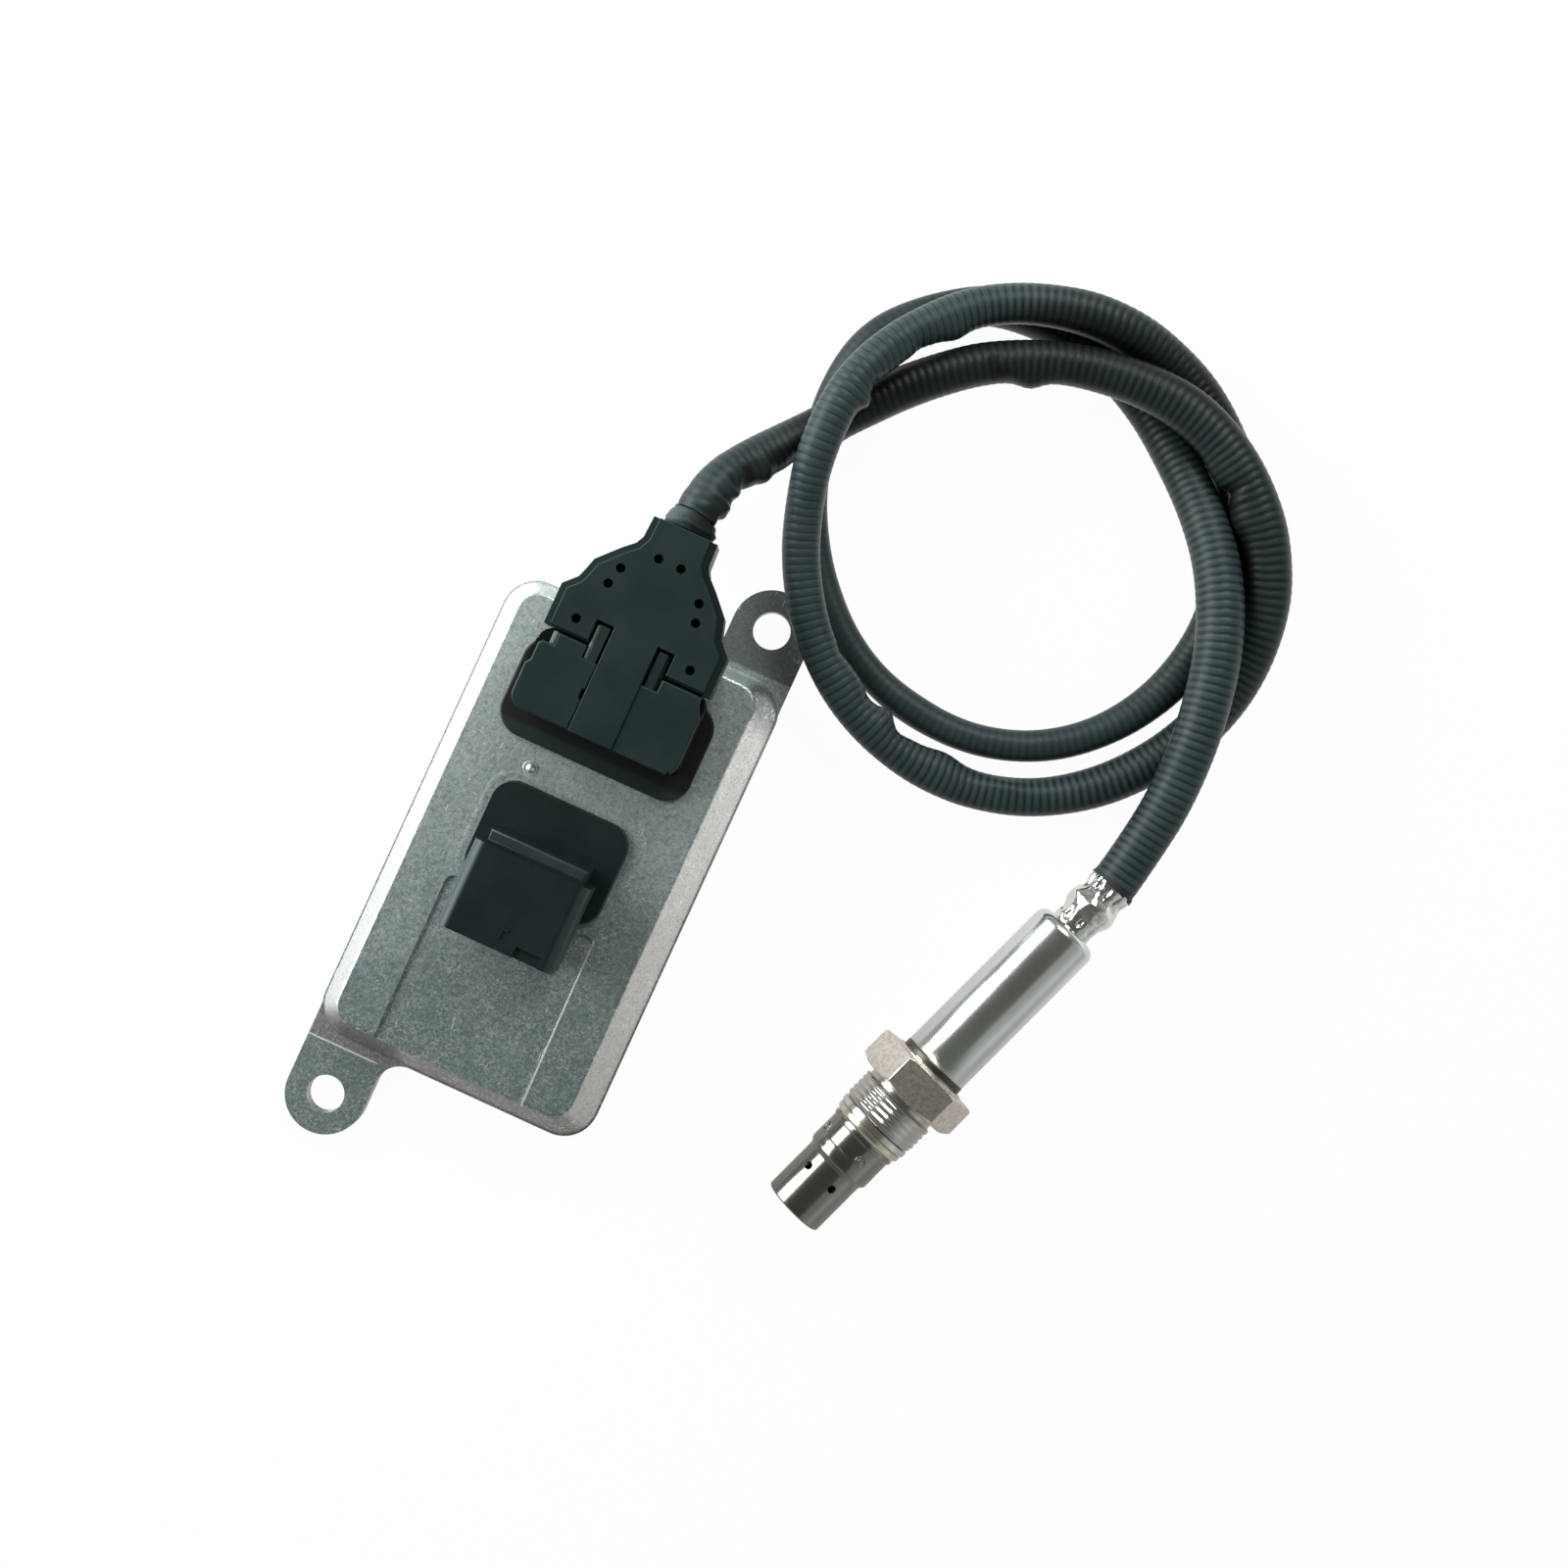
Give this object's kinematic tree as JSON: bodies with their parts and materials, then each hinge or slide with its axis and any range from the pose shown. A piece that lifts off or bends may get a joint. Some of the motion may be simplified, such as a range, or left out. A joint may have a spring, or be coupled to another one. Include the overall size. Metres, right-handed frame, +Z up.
{
  "type": "nitrogen oxide sensor",
  "caption": "Nitrogen oxide sensor: a threaded steel probe on a coiled corrugated hose, plugged into a cast control unit with mounting lugs and a harness socket.",
  "frame": {"origin": "midway between the two lug holes of the control unit, on the plane it is bolted down by", "axes": "+Z up out of the mounting plane; +Y along the control unit's long side, towards the end the hose leaves by; +X across it, towards the coiled hose and the probe"},
  "size_m": [0.1706, 0.2561, 0.0372],
  "materials": {
    "cast_case": "bead-blasted die casting",
    "plate_steel": "rolled sheet, brushed",
    "steel_ball": "satin",
    "board": "solder resist",
    "chip": "moulded epoxy",
    "can": "drawn",
    "screw": "zinc plated",
    "black_plastic": "fine moulded grain",
    "plug_plastic": "moulded, slightly satin",
    "contact": "tinned",
    "gasket": "soft rubber",
    "hose_rubber": "corrugated, satin",
    "collar_rubber": "matt",
    "probe_steel": "turned",
    "nut_steel": "machined",
    "crimp_steel": "drawn and crimped",
    "seal_steel": "stamped",
    "ceramic_white": "fired",
    "element": "fired"
  },
  "bodies": {
    "root": {"housing": "cast_case", "base_plate": "plate_steel", "vent_plug": "steel_ball", "circuit_board": "board", "board_screws": "screw", "processor_chip": "chip", "driver_chips": "chip", "capacitors": "can", "sensor_header": "black_plastic", "sensor_header_gasket": "gasket", "sensor_header_pins": "contact", "vehicle_header": "black_plastic", "vehicle_header_gasket": "gasket", "vehicle_header_blades": "contact", "plug_body": "plug_plastic", "plug_seal": "gasket", "plug_sleeves": "contact", "plug_lid": "plug_plastic", "plug_shell": "plug_plastic", "hose_collar": "collar_rubber", "hose": "hose_rubber", "crimp_ferrule": "crimp_steel", "probe_sleeve": "probe_steel", "lead_grommet": "gasket", "contact_holder": "ceramic_white", "sensing_element": "element", "element_bush": "ceramic_white", "probe_body": "probe_steel", "union_nut": "nut_steel", "sealing_ring": "seal_steel", "outer_guard": "probe_steel", "inner_guard": "probe_steel"}
  },
  "joints": []
}
